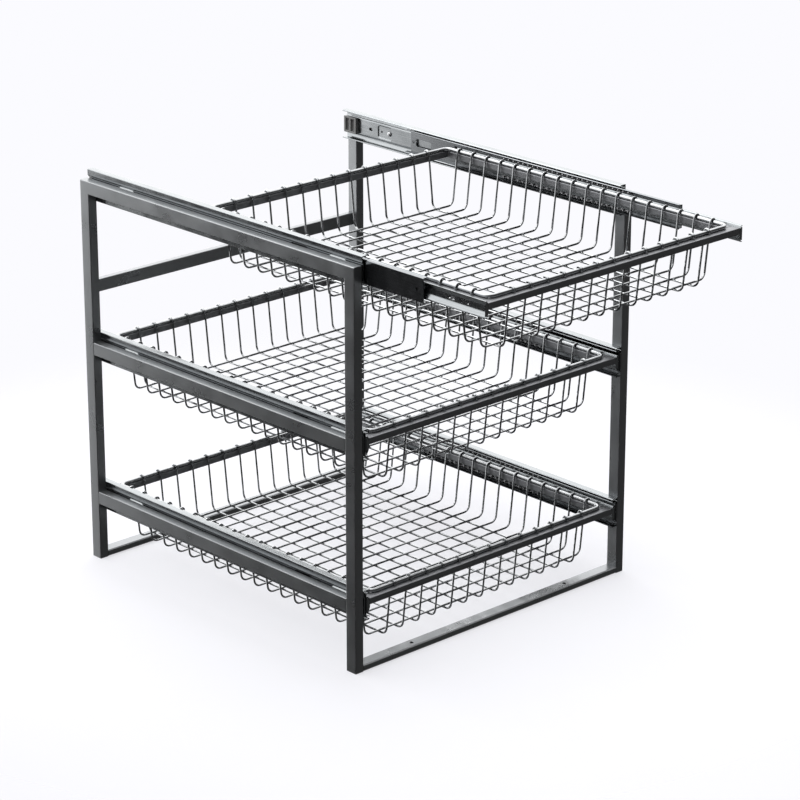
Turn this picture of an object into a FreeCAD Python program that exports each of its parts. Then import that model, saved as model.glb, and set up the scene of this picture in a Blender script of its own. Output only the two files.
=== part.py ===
"""Pull out larder unit: a welded steel frame with three wire basket drawers.

The frame has two side frames of flat-sided tube, joined by two floor crossbars and one back
crossbar. Each drawer is a welded hoop of small tube with a wire basket hung in it. It runs on a
pair of three-member ball-bearing slides, and the ball cages between the members are modelled.

Axes: +X to the right seen from the front, the drawers pull out towards -Y, +Z up.
Origin: on the floor, at the centre of the four floor screws. Lengths are in millimetres.
"""
import FreeCAD
import Part
import math
import os

V = FreeCAD.Vector

# ---- frame ----
FRAME_WIDTH = 550.0          # over the outside of the side frames
FRAME_DEPTH = 600.0          # front of the front posts to back of the rear posts
FRAME_HEIGHT = 600.0         # floor to the top of the top rails
TUBE_WIDTH = 15.0            # side frame tube, across the unit
TUBE_DEPTH = 20.0            # side frame tube, in the plane of the side frame
TUBE_WALL = 1.5
TUBE_RADIUS = 2.0
MIDDLE_RAIL_TOP = 350.0      # height of the middle rails' upper faces
LOWER_RAIL_TOP = 110.0       # height of the lower rails' upper faces

FLOOR_BAR_DEPTH = 20.0       # floor crossbars, front to back
FLOOR_BAR_HEIGHT = 10.0
FLOOR_BAR_WALL = 1.5
FLOOR_SCREW_SPACING = 315.0  # between the two screw holes of a floor crossbar
FLOOR_SCREW_HOLE = 5.5       # diameter
BACK_BAR_HEIGHT = 20.0       # upper crossbar at the back
BACK_BAR_THICKNESS = 10.0
BACK_BAR_BOTTOM = 423.0      # height of its lower face

# ---- ball-bearing slides, as long as the frame is deep ----
SLIDE_HEIGHT = 46.0          # over the outer member's flanges
SLIDE_SHEET = 1.2            # sheet of all three members
SLIDE_WIDTH = 12.7           # rail face to the drawer face of the inner member
WEB_RECESS = 1.5             # outer web back from the raceway backs, which touch the posts
WEB_HEIGHT = 25.0            # flat part of the outer member's web
OUTER_REACH = 11.7          # rail face to the tip of the outer flanges
INTERMEDIATE_REACH = 11.3    # rail face to the tip of the intermediate flanges
MEMBER_BEND = 1.5            # bevel that stands for the bend of a sheet corner
RACE_LIP = 1.2               # turned edge of a flange
RUN_GAP = 0.3                # clearance between parts that slide past each other
BALL_DIAMETER = 4.0
BALL_PLAY = 0.1              # ball to raceway
CAGE_SHEET = 0.5
CAGE_EDGE = 0.8              # cage flange past the balls' centres
CAGE_END_PLAY = 3.0          # cage end to the end of its raceway at full extension
BALLS_PER_ROW = 3
BALL_POCKET_PLAY = 0.15
REAR_WEB_CUTBACK = 8.0       # outer web ends this far short of its flanges
STOP_LENGTH = 28.0           # rear stop block
STOP_HEIGHT = 26.0
STOP_THICKNESS = 6.0
STOP_GROOVE = 8.0
STOP_GAP = 1.0               # closed members to the stop block
POCKET_LENGTH = 36.0         # pockets pressed in the outer member's web; they rest on the rail
POCKET_HEIGHT = 22.5
POCKET_FROM_FRONT = 51.0     # slide's front end to the middle of the front pocket
POCKET_FROM_REAR = 90.0      # rear pocket to the slide's rear end
WINDOW_LENGTH = 35.0         # windows in the outer and intermediate webs
WINDOW_HEIGHT = 22.5
WINDOW_FROM_FRONT = 129.5    # slide's front end to the middle of the outer member's window
WEB_SLOT_LENGTH = 9.0        # slot in the outer web, between the rear pocket and the stop
WEB_SLOT_WIDTH = 5.0
WEB_SLOT_FROM_REAR = 57.0
INNER_SLOT_LENGTH = 12.0     # release slot near the front of the inner member
INNER_SLOT_WIDTH = 6.0
INNER_SLOT_CENTRE = 68.0
INNER_HOLE_CENTRES = (38.0, 49.0)
INNER_HOLE = 4.6
INNER_WEB_HEIGHT = 9.0       # flat part of the inner member's web, between its sloping flanges
INNER_SHELF = 2.7            # raceway at the outer end of each sloping flange
END_TAB_HEIGHT = 20.0        # bent tab that closes the inner member's front end

# ---- slide screws ----
SCREW_DIAMETER = 4.0
SCREW_LENGTH = 7.5           # under the head
SCREW_HEAD = 9.0             # diameter
SCREW_HEAD_HEIGHT = 2.3      # pan head, most of it sunk in the pocket
SCREW_CLEARANCE = 0.1        # shank to hole, each side
SCREW_OFFSET = 8.0           # pocket's middle to its screw, towards the middle of the slide

# ---- drawers ----
HOOP_REAR_GAP = 10.0         # closed hoop to the back of the frame
HOOP_BAR_WIDTH = 15.0
HOOP_BAR_HEIGHT = 10.0
HOOP_BAR_WALL = 1.0
HOOP_DROP = 3.2              # inner member's top edge down to the hoop's top face
ROD_DIAMETER = 6.0           # rim rod on the inner edge of the hoop
ROD_CORNER = 11.0            # bend radius of the rod's centre line
WIRE = 3.0                   # basket wire
WIRE_OVERHANG = 3.0          # wire ends past the rim rod
BASKET_DEPTH = 91.5          # top of the hooked wires down to the underside of the floor wires
WALL_TAPER = 10.0            # inward lean of a basket wall over its height
WIRE_BEND = 10.0             # bend between wall and floor
CROSS_PITCH = 30.0           # wires that run across the drawer
CROSS_MARGIN = 26.0          # least distance from the rod to the first and last of them
LONG_PITCH = 32.0            # wires that run from front to back
LONG_MARGIN = 41.5

# ---- motion ----
TOP_DRAWER_OUT = 230.0       # the top drawer is shown this far open

TIERS = {
    "top": {"rail_top": FRAME_HEIGHT, "out": TOP_DRAWER_OUT},
    "middle": {"rail_top": MIDDLE_RAIL_TOP, "out": 0.0},
    "lower": {"rail_top": LOWER_RAIL_TOP, "out": 0.0},
}

# ---- places that follow from the sizes ----
FRONT = -FRAME_DEPTH / 2.0
REAR = FRAME_DEPTH / 2.0
RAIL_FACE = FRAME_WIDTH / 2.0 - TUBE_WIDTH          # inner face of the right side frame
HOOP_SIDE = RAIL_FACE - SLIDE_WIDTH                 # outer face of the hoop
DRAWER_DEPTH = FRAME_DEPTH - HOOP_REAR_GAP          # hoop, front face to back face
SLIDE_LENGTH = FRAME_DEPTH
TRAVEL = SLIDE_LENGTH                               # full extension
MEMBER_LENGTH = SLIDE_LENGTH - STOP_LENGTH - STOP_GAP
CAGE_LENGTH = MEMBER_LENGTH - TRAVEL / 2.0 - 2.0 * CAGE_END_PLAY
POCKET_CENTRES = (POCKET_FROM_FRONT, SLIDE_LENGTH - POCKET_FROM_REAR)
SCREW_CENTRES = (POCKET_CENTRES[0] + SCREW_OFFSET, POCKET_CENTRES[1] - SCREW_OFFSET)

OUTER_WEB = WEB_RECESS + SLIDE_SHEET                # rail face to the drawer side of the web
CAGE_WEB = max(OUTER_WEB, SLIDE_SHEET + SCREW_HEAD_HEIGHT) + RUN_GAP
INTERMEDIATE_WEB = CAGE_WEB + CAGE_SHEET + RUN_GAP
INNER_CAGE_WEB = INTERMEDIATE_WEB + SLIDE_SHEET + RUN_GAP
INNER_TIP = INNER_CAGE_WEB + CAGE_SHEET + RUN_GAP

RACE_STEP = BALL_DIAMETER + 2.0 * BALL_PLAY
OUTER_HALF = SLIDE_HEIGHT / 2.0
INTERMEDIATE_HALF = OUTER_HALF - SLIDE_SHEET - RACE_STEP
INNER_HALF = INTERMEDIATE_HALF - SLIDE_SHEET - RACE_STEP
OUTER_BALL_ROW = OUTER_HALF - SLIDE_SHEET - RACE_STEP / 2.0
INNER_BALL_ROW = INTERMEDIATE_HALF - SLIDE_SHEET - RACE_STEP / 2.0
OUTER_BALL_U = (INTERMEDIATE_WEB + OUTER_REACH) / 2.0 - RACE_LIP / 2.0
INNER_BALL_U = (INNER_TIP + INTERMEDIATE_REACH) / 2.0

ROD_INSET = HOOP_BAR_WIDTH - ROD_DIAMETER / 2.0     # hoop's outer face to the rod's centre
PARTS_FOLDER = "parts"


# ---- shapes ----
def prism(points, along):
    """Solid swept from a closed outline along a vector."""
    return Part.Face(Part.makePolygon(list(points) + [points[0]])).extrude(along)


def box(low, high):
    return Part.makeBox(high.x - low.x, high.y - low.y, high.z - low.z, low)


def rounded_outline(width, height, radius, steps):
    """Corner points of a rectangle about the origin, each corner rounded with short flats."""
    if radius <= 0.0:
        return [(sx * width / 2.0, sy * height / 2.0)
                for sx, sy in ((1, 1), (-1, 1), (-1, -1), (1, -1))]
    points = []
    for quarter, (sx, sy) in enumerate(((1, 1), (-1, 1), (-1, -1), (1, -1))):
        for step in range(steps + 1):
            angle = math.radians(90.0 * (quarter + step / float(steps)))
            points.append((sx * (width / 2.0 - radius) + radius * math.cos(angle),
                           sy * (height / 2.0 - radius) + radius * math.sin(angle)))
    return points


def hollow_bar(low, high, axis, wall, radius=0.0):
    """Tube that fills the box from low to high, open at both ends along axis (0, 1 or 2)."""
    size = high - low
    middle = (low + high) * 0.5
    length = size[axis]
    a, b = [i for i in range(3) if i != axis]

    def at(u, v):
        spot = [0.0, 0.0, 0.0]
        spot[axis] = low[axis]
        spot[a] = middle[a] + u
        spot[b] = middle[b] + v
        return V(*spot)

    run = V(*[length if i == axis else 0.0 for i in range(3)])
    skin = prism([at(u, v) for u, v in rounded_outline(size[a], size[b], radius, 1)], run)
    u, v = size[a] / 2.0 - wall, size[b] / 2.0 - wall
    bore = prism([at(-u, -v), at(u, -v), at(u, v), at(-u, v)], run)
    return skin.cut(bore)


def polygon_rod(start, along, diameter, sides):
    """Solid rod of a regular section, its flats at the given diameter, along +X or -X."""
    radius = diameter / 2.0 / math.cos(math.pi / sides)
    ring = [V(start.x, start.y + radius * math.cos(2.0 * math.pi * (i + 0.5) / sides),
              start.z + radius * math.sin(2.0 * math.pi * (i + 0.5) / sides)) for i in range(sides)]
    return prism(ring, V(along, 0, 0))


def beside(path, offset):
    """The points of an open flat path moved sideways, its corners kept sharp."""
    moved = []
    for i, (x, y) in enumerate(path):
        normals = []
        for a, b in ((i - 1, i), (i, i + 1)):
            if a >= 0 and b < len(path):
                dx, dy = path[b][0] - path[a][0], path[b][1] - path[a][1]
                size = math.hypot(dx, dy)
                normals.append((dy / size, -dx / size))
        nx = sum(n[0] for n in normals)
        ny = sum(n[1] for n in normals)
        scale = offset * len(normals) / (nx * nx + ny * ny)
        moved.append((x + nx * scale, y + ny * scale))
    return moved


def mirrored(shape):
    """The same piece on the other side of the unit."""
    return shape.mirror(V(0, 0, 0), V(1, 0, 0))


def both_sides(shape):
    return Part.makeCompound([shape, mirrored(shape)])


# ---- frame ----
def mitre_waste(sign_y, keep_post):
    """Triangle to remove from a post or from the top rail at a top corner."""
    outer = sign_y * FRAME_DEPTH / 2.0
    inner = outer - sign_y * TUBE_DEPTH
    low = FRAME_HEIGHT - TUBE_DEPTH
    third = (inner, FRAME_HEIGHT) if keep_post else (outer, low)
    x = -FRAME_WIDTH / 2.0
    points = [V(x, outer, FRAME_HEIGHT), V(x, inner, low), V(x, third[0], third[1])]
    return prism(points, V(TUBE_WIDTH, 0, 0))


def left_post(sign_y):
    """Left front post for sign_y = -1, left rear post for +1."""
    y = sorted((sign_y * FRAME_DEPTH / 2.0, sign_y * (FRAME_DEPTH / 2.0 - TUBE_DEPTH)))
    post = hollow_bar(V(-FRAME_WIDTH / 2.0, y[0], 0), V(-RAIL_FACE, y[1], FRAME_HEIGHT), 2,
                      TUBE_WALL, TUBE_RADIUS)
    return post.cut(mitre_waste(sign_y, True))


def left_rail(tier):
    """Rail of the left side frame: the top one is mitred, the others butt against the posts."""
    top = TIERS[tier]["rail_top"]
    inset = 0.0 if tier == "top" else TUBE_DEPTH
    rail = hollow_bar(V(-FRAME_WIDTH / 2.0, FRONT + inset, top - TUBE_DEPTH),
                      V(-RAIL_FACE, REAR - inset, top), 1, TUBE_WALL, TUBE_RADIUS)
    if tier == "top":
        rail = rail.cut(mitre_waste(-1, False)).cut(mitre_waste(1, False))
    for centre in SCREW_CENTRES:
        hole = polygon_rod(V(-RAIL_FACE, FRONT + centre, top - TUBE_DEPTH / 2.0), -TUBE_WALL,
                           SCREW_DIAMETER + 2.0 * SCREW_CLEARANCE, 6)
        rail = rail.cut(hole)
    return rail


def floor_crossbar(sign_y):
    """Front floor crossbar for sign_y = -1, rear one for +1, with its two screw holes."""
    outer = sign_y * FRAME_DEPTH / 2.0
    y = sorted((outer, outer - sign_y * FLOOR_BAR_DEPTH))
    bar = hollow_bar(V(-RAIL_FACE, y[0], 0), V(RAIL_FACE, y[1], FLOOR_BAR_HEIGHT), 0,
                     FLOOR_BAR_WALL, FLOOR_BAR_WALL)
    for sign_x in (-1, 1):
        spot = V(sign_x * FLOOR_SCREW_SPACING / 2.0, (y[0] + y[1]) / 2.0, 0)
        bar = bar.cut(Part.makeCylinder(FLOOR_SCREW_HOLE / 2.0, FLOOR_BAR_HEIGHT, spot))
    return bar


def back_crossbar():
    return hollow_bar(V(-RAIL_FACE, REAR - BACK_BAR_THICKNESS, BACK_BAR_BOTTOM),
                      V(RAIL_FACE, REAR, BACK_BAR_BOTTOM + BACK_BAR_HEIGHT), 0,
                      FLOOR_BAR_WALL, FLOOR_BAR_WALL)


# ---- slides, each made on the left side ----
def slide_axis(tier):
    """Height of the slides' centre line: the middle of the rail that carries them."""
    return TIERS[tier]["rail_top"] - TUBE_DEPTH / 2.0


def on_slide(tier, u, y, v):
    """Point of the left slide: u from the rail face inwards, y from the frame's front, v up."""
    return V(-RAIL_FACE + u, FRONT + y, slide_axis(tier) + v)


def whole_profile(upper_half):
    """Path of a slide section: the upper half and its mirror image, from bottom to top."""
    return [(u, -v) for u, v in reversed(upper_half)] + list(upper_half)


def bent_sheet(tier, path, thickness, start, length):
    """Rolled sheet section: the path is one face, the sheet lies to the right of it."""
    outline = path + list(reversed(beside(path, thickness)))
    return prism([on_slide(tier, u, start, v) for u, v in outline], V(0, length, 0))


def web_window(tier, centre, length, height, u):
    """Cutter for a window through the sheet whose rail side is at u."""
    return box(on_slide(tier, u, centre - length / 2.0, -height / 2.0),
               on_slide(tier, u + SLIDE_SHEET, centre + length / 2.0, height / 2.0))


def web_slot(tier, centre, length, width, u):
    """Cutter for a slot with pointed ends through the sheet whose rail side is at u."""
    a, b = length / 2.0, width / 2.0
    corners = [(-a, 0), (-a + b, b), (a - b, b), (a, 0), (a - b, -b), (-a + b, -b)]
    points = [on_slide(tier, u, centre + y, v) for y, v in corners]
    return prism(points, V(SLIDE_SHEET, 0, 0))


def pocket_box(tier, centre, low_u, high_u, inset):
    """Box of a pressed pocket between two distances from the rail, its sides moved in by inset."""
    half_length, half_height = POCKET_LENGTH / 2.0 - inset, POCKET_HEIGHT / 2.0 - inset
    return box(on_slide(tier, low_u, centre - half_length, -half_height),
               on_slide(tier, high_u, centre + half_length, half_height))


def outer_member(tier):
    """Cabinet member: a recessed web with pockets for the screws between two raceways."""
    web = WEB_HEIGHT / 2.0
    path = whole_profile([
        (WEB_RECESS, web),
        (0.0, web + WEB_RECESS),
        (0.0, OUTER_HALF - MEMBER_BEND),
        (MEMBER_BEND, OUTER_HALF),
        (OUTER_REACH - RACE_LIP, OUTER_HALF),
        (OUTER_REACH, OUTER_HALF - RACE_LIP),
    ])
    member = bent_sheet(tier, path, SLIDE_SHEET, 0.0, SLIDE_LENGTH)
    member = member.cut(web_window(tier, WINDOW_FROM_FRONT, WINDOW_LENGTH, WINDOW_HEIGHT, WEB_RECESS))
    member = member.cut(web_slot(tier, SLIDE_LENGTH - WEB_SLOT_FROM_REAR, WEB_SLOT_LENGTH,
                                 WEB_SLOT_WIDTH, WEB_RECESS))
    cutback = box(on_slide(tier, 0.0, SLIDE_LENGTH - REAR_WEB_CUTBACK, -web - WEB_RECESS),
                  on_slide(tier, OUTER_WEB, SLIDE_LENGTH, web + WEB_RECESS))
    member = member.cut(cutback)
    for centre in POCKET_CENTRES:
        member = member.fuse(pocket_box(tier, centre, 0.0, WEB_RECESS, 0.0))
        member = member.cut(pocket_box(tier, centre, SLIDE_SHEET, OUTER_WEB, SLIDE_SHEET))
    for centre in SCREW_CENTRES:
        hole = polygon_rod(on_slide(tier, 0.0, centre, 0.0), SLIDE_SHEET,
                           SCREW_DIAMETER + 2.0 * SCREW_CLEARANCE, 6)
        member = member.cut(hole)
    return member.removeSplitter()


def intermediate_member(tier):
    """Middle member: its flanges run between the two sets of balls."""
    path = whole_profile([
        (INTERMEDIATE_WEB, INTERMEDIATE_HALF),
        (INTERMEDIATE_REACH - RACE_LIP, INTERMEDIATE_HALF),
        (INTERMEDIATE_REACH, INTERMEDIATE_HALF + RACE_LIP),
    ])
    out = TIERS[tier]["out"] / 2.0
    member = bent_sheet(tier, path, SLIDE_SHEET, -out, MEMBER_LENGTH)
    rear_window = MEMBER_LENGTH - WINDOW_LENGTH - out
    return member.cut(web_window(tier, rear_window, WINDOW_LENGTH, INNER_HALF, INTERMEDIATE_WEB))


def inner_member(tier):
    """Drawer member: it opens towards the rail, and the hoop is welded to its web."""
    web_half, tab_half = INNER_WEB_HEIGHT / 2.0, END_TAB_HEIGHT / 2.0
    shelf = INNER_TIP + INNER_SHELF
    path = whole_profile([(SLIDE_WIDTH, web_half), (shelf, INNER_HALF), (INNER_TIP, INNER_HALF)])
    out = TIERS[tier]["out"]
    member = bent_sheet(tier, path, -SLIDE_SHEET, -out, MEMBER_LENGTH)
    slope = (SLIDE_WIDTH - shelf) / (INNER_HALF - web_half)
    tab = whole_profile([(SLIDE_WIDTH, web_half), (SLIDE_WIDTH - slope * (tab_half - web_half), tab_half),
                         (INNER_TIP, tab_half)])
    member = member.fuse(prism([on_slide(tier, u, -out, v) for u, v in tab], V(0, SLIDE_SHEET, 0)))
    web = SLIDE_WIDTH - SLIDE_SHEET
    cuts = [web_slot(tier, INNER_SLOT_CENTRE - out, INNER_SLOT_LENGTH, INNER_SLOT_WIDTH, web)]
    for centre in INNER_HOLE_CENTRES:
        cuts.append(polygon_rod(on_slide(tier, web, centre - out, 0.0), SLIDE_SHEET, INNER_HOLE, 6))
    for cut in cuts:
        member = member.cut(cut)
    return member.removeSplitter()


def ball(centre):
    """Bearing ball as a solid of sixteen faces: two turned rings of four corners and two poles."""
    radius = BALL_DIAMETER / 2.0
    rise = math.radians(25.0)
    poles = (centre + V(0, 0, radius), centre - V(0, 0, radius))
    rings = []
    for level in (0, 1):
        ring = []
        for i in range(4):
            turn = math.radians(90.0 * i + 45.0 * level)
            flat = radius * math.cos(rise)
            ring.append(centre + V(flat * math.cos(turn), flat * math.sin(turn),
                                   radius * math.sin(rise) * (1 - 2 * level)))
        rings.append(ring)
    corners = []
    for i in range(4):
        high, low = rings[0], rings[1]
        n = (i + 1) % 4
        corners += [(poles[0], high[i], high[n]), (high[i], low[i], high[n]),
                    (high[n], low[i], low[n]), (poles[1], low[n], low[i])]
    faces = [Part.Face(Part.makePolygon([p, q, r, p])) for p, q, r in corners]
    return Part.makeSolid(Part.makeShell(faces))


def cage(tier, web, row, ball_u, start):
    """Ball cage: a thin channel whose flanges hold a row of balls each, in open pockets."""
    half = row + CAGE_SHEET / 2.0
    edge = ball_u + CAGE_EDGE
    strip = bent_sheet(tier, whole_profile([(web, half), (edge, half)]), CAGE_SHEET,
                       start, CAGE_LENGTH)
    pitch = CAGE_LENGTH / BALLS_PER_ROW
    reach = BALL_DIAMETER / 2.0 + BALL_POCKET_PLAY
    balls = []
    pockets = []
    for i in range(BALLS_PER_ROW):
        y = start + pitch * (i + 0.5)
        for sign in (-1, 1):
            balls.append(ball(on_slide(tier, ball_u, y, sign * row)))
            low = on_slide(tier, ball_u - reach, y - reach, sign * row - CAGE_SHEET)
            high = on_slide(tier, edge, y + reach, sign * row + CAGE_SHEET)
            pockets.append(box(low, high))
    strip = strip.cut(Part.makeCompound(pockets))
    return Part.makeCompound([strip] + balls)


def cage_start(tier, share):
    """Front end of a cage that moves by the given share of the drawer's travel."""
    return (MEMBER_LENGTH - CAGE_LENGTH) / 2.0 - share * TIERS[tier]["out"]


def outer_cage(tier):
    return cage(tier, CAGE_WEB, OUTER_BALL_ROW, OUTER_BALL_U, cage_start(tier, 0.25))


def inner_cage(tier):
    return cage(tier, INNER_CAGE_WEB, INNER_BALL_ROW, INNER_BALL_U, cage_start(tier, 0.75))


def rear_stop(tier):
    """Block on the outer web that the closed members come up to, grooved along its middle."""
    low = on_slide(tier, OUTER_WEB, SLIDE_LENGTH - STOP_LENGTH, -STOP_HEIGHT / 2.0)
    high = on_slide(tier, OUTER_WEB + STOP_THICKNESS, SLIDE_LENGTH, STOP_HEIGHT / 2.0)
    block = box(low, high)
    groove_low = on_slide(tier, OUTER_WEB + STOP_THICKNESS / 2.0,
                          SLIDE_LENGTH - (STOP_LENGTH + STOP_GROOVE) / 2.0, -STOP_HEIGHT / 2.0)
    groove_high = on_slide(tier, OUTER_WEB + STOP_THICKNESS,
                           SLIDE_LENGTH - (STOP_LENGTH - STOP_GROOVE) / 2.0, STOP_HEIGHT / 2.0)
    return block.cut(box(groove_low, groove_high))


def slide_screws(tier):
    """Pan-head screws that hold the outer member to the rail, each in its pocket."""
    screws = []
    for centre in SCREW_CENTRES:
        seat = on_slide(tier, SLIDE_SHEET, centre, 0.0)
        head = polygon_rod(seat, SCREW_HEAD_HEIGHT, SCREW_HEAD, 6)
        shank = polygon_rod(seat, -SCREW_LENGTH, SCREW_DIAMETER, 6)
        screws.append(head.fuse(shank).removeSplitter())
    return Part.makeCompound(screws)


# ---- drawers ----
def hoop_top(tier):
    """Height of the hoop's upper face."""
    return slide_axis(tier) + INNER_HALF - HOOP_DROP


def hoop_front(tier):
    return FRONT - TIERS[tier]["out"]


def hoop_bar(tier, low_x, high_x, low_y, high_y, axis):
    """Bar of the hoop, with y measured from the hoop's front face."""
    top = hoop_top(tier)
    front = hoop_front(tier)
    return hollow_bar(V(low_x, front + low_y, top - HOOP_BAR_HEIGHT), V(high_x, front + high_y, top),
                      axis, HOOP_BAR_WALL)


def front_bar(tier):
    return hoop_bar(tier, -HOOP_SIDE, HOOP_SIDE, 0.0, HOOP_BAR_WIDTH, 0)


def rear_bar(tier):
    return hoop_bar(tier, -HOOP_SIDE, HOOP_SIDE, DRAWER_DEPTH - HOOP_BAR_WIDTH, DRAWER_DEPTH, 0)


def side_bars(tier):
    return both_sides(hoop_bar(tier, -HOOP_SIDE, -HOOP_SIDE + HOOP_BAR_WIDTH, HOOP_BAR_WIDTH,
                               DRAWER_DEPTH - HOOP_BAR_WIDTH, 1))


def rim_rod(tier):
    """Closed rod on the hoop's inner edge, eight-sided, with bends of short straight runs."""
    steps = 2
    half_x = HOOP_SIDE - ROD_INSET
    half_y = DRAWER_DEPTH / 2.0 - ROD_INSET
    middle = V(0, hoop_front(tier) + DRAWER_DEPTH / 2.0, hoop_top(tier) + ROD_DIAMETER / 2.0)

    def ring(inset, rise):
        radius = ROD_CORNER - inset
        return [middle + V(x, y, rise) for x, y in
                rounded_outline(2.0 * (half_x - inset), 2.0 * (half_y - inset), radius, steps)]

    sides = 8
    radius = ROD_DIAMETER / 2.0 / math.cos(math.pi / sides)
    rings = []
    for i in range(sides):
        angle = 2.0 * math.pi * (i + 0.5) / sides
        rings.append(ring(radius * math.cos(angle), radius * math.sin(angle)))
    faces = []
    count = len(rings[0])
    for i in range(sides):
        a, b = rings[i], rings[(i + 1) % sides]
        for k in range(count):
            n = (k + 1) % count
            faces.append(Part.Face(Part.makePolygon([a[k], a[n], b[n], b[k], a[k]])))
    return Part.makeSolid(Part.makeShell(faces))


def basket_wire(half_span, layer):
    """Path of a hooked U-shaped wire, from end to end, as (distance along, height) pairs.

    Heights are above the hoop's top face. The wire hooks over the rim rod, whose centre is
    half_span from the middle, and layer lifts its floor run on to the wires beneath.
    """
    hook = ROD_DIAMETER + WIRE / 2.0
    wall = half_span - ROD_DIAMETER / 2.0 - WIRE / 2.0
    floor = hook + WIRE / 2.0 - BASKET_DEPTH + WIRE / 2.0 + layer
    foot = wall - WALL_TAPER
    lean = math.atan2(WALL_TAPER, hook - floor)
    half = [
        (half_span + ROD_DIAMETER / 2.0 + WIRE_OVERHANG, hook),
        (wall, hook),
        (foot + WIRE_BEND * math.sin(lean), floor + WIRE_BEND * math.cos(lean)),
        (foot - WIRE_BEND, floor),
    ]
    return [(-u, z) for u, z in half] + [(u, z) for u, z in reversed(half)]


def square_wire(path, place, thickness):
    """Wire of square section along a flat path; place turns a path point into a real one."""
    left = beside(path, WIRE / 2.0)
    right = beside(path, -WIRE / 2.0)
    outline = left + list(reversed(right))
    return prism([place(u, z) for u, z in outline], thickness)


def wire_places(half_span, margin, pitch):
    """Evenly spaced wire positions about the middle, none nearer than margin to the rod."""
    gaps = int(2.0 * (half_span - margin) / pitch)
    return [pitch * (i - gaps / 2.0) for i in range(gaps + 1)]


def cross_wires(tier):
    """U-shaped wires across the drawer; their floor runs lie on the long ones."""
    path = basket_wire(HOOP_SIDE - ROD_INSET, WIRE)
    middle = hoop_front(tier) + DRAWER_DEPTH / 2.0
    top = hoop_top(tier)
    wires = []
    for place in wire_places(DRAWER_DEPTH / 2.0 - ROD_INSET, CROSS_MARGIN, CROSS_PITCH):
        y = middle + place - WIRE / 2.0
        wires.append(square_wire(path, lambda u, z: V(u, y, top + z), V(0, WIRE, 0)))
    return Part.makeCompound(wires)


def long_wires(tier):
    """U-shaped wires from front to back, which make the lower layer of the floor."""
    path = basket_wire(DRAWER_DEPTH / 2.0 - ROD_INSET, 0.0)
    middle = hoop_front(tier) + DRAWER_DEPTH / 2.0
    top = hoop_top(tier)
    wires = []
    for place in wire_places(HOOP_SIDE - ROD_INSET, LONG_MARGIN, LONG_PITCH):
        x = place - WIRE / 2.0
        wires.append(square_wire(path, lambda u, z: V(x, middle + u, top + z), V(WIRE, 0, 0)))
    return Part.makeCompound(wires)


# ---- all pieces by node name ----
def frame_nodes():
    nodes = {}
    for end, sign_y in (("front", -1), ("rear", 1)):
        post = left_post(sign_y)
        nodes["left_%s_post" % end] = post
        nodes["right_%s_post" % end] = mirrored(post)
        nodes["floor_%s_crossbar" % end] = floor_crossbar(sign_y)
    nodes["back_crossbar"] = back_crossbar()
    stops = []
    screws = []
    for tier in TIERS:
        rail = left_rail(tier)
        nodes["left_%s_rail" % tier] = rail
        nodes["right_%s_rail" % tier] = mirrored(rail)
        member = outer_member(tier)
        nodes["%s_left_outer_member" % tier] = member
        nodes["%s_right_outer_member" % tier] = mirrored(member)
        stops.append(both_sides(rear_stop(tier)))
        screws.append(both_sides(slide_screws(tier)))
    nodes["rear_stops"] = Part.makeCompound(stops)
    nodes["slide_screws"] = Part.makeCompound(screws)
    return nodes


def drawer_nodes(tier):
    nodes = {}
    for name, make in (("intermediate_member", intermediate_member), ("inner_member", inner_member)):
        member = make(tier)
        nodes["%s_left_%s" % (tier, name)] = member
        nodes["%s_right_%s" % (tier, name)] = mirrored(member)
    nodes["%s_outer_ball_cages" % tier] = both_sides(outer_cage(tier))
    nodes["%s_inner_ball_cages" % tier] = both_sides(inner_cage(tier))
    for name, make in (("front_bar", front_bar), ("rear_bar", rear_bar), ("side_bars", side_bars),
                       ("rim_rod", rim_rod), ("cross_wires", cross_wires), ("long_wires", long_wires)):
        nodes["%s_%s" % (tier, name)] = make(tier)
    return nodes


def main():
    os.makedirs(PARTS_FOLDER, exist_ok=True)
    nodes = frame_nodes()
    for tier in TIERS:
        nodes.update(drawer_nodes(tier))
    for name, shape in nodes.items():
        for solid in shape.Solids:
            if not solid.isValid() or solid.Volume <= 0.0:
                raise ValueError("bad solid in " + name)
        shape.exportStep(os.path.join(PARTS_FOLDER, name + ".step"))
    print("nodes", len(nodes), "solids", sum(len(s.Solids) for s in nodes.values()))


main()
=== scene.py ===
"""Looks of the pull out larder unit: a welded frame with three wire basket drawers on slides."""
import math
import bmesh
import bpy
from mathutils import Matrix, Vector


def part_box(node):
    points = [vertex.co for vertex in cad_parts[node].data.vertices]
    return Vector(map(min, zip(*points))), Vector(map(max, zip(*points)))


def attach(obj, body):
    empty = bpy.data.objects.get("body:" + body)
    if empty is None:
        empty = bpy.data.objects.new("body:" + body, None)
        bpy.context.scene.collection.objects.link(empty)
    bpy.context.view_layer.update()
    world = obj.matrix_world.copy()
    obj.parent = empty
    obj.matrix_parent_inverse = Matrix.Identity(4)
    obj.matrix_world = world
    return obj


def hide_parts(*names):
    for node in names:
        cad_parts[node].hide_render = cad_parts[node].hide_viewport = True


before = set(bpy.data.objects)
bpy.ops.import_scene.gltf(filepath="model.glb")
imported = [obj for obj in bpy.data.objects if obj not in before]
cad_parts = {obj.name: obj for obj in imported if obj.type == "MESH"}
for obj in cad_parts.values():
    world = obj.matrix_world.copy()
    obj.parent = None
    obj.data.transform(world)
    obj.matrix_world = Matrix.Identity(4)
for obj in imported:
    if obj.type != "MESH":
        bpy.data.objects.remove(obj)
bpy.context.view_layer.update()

MM = 0.001
TIERS = ("top", "middle", "lower")
SIDES = ("left", "right")

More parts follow.
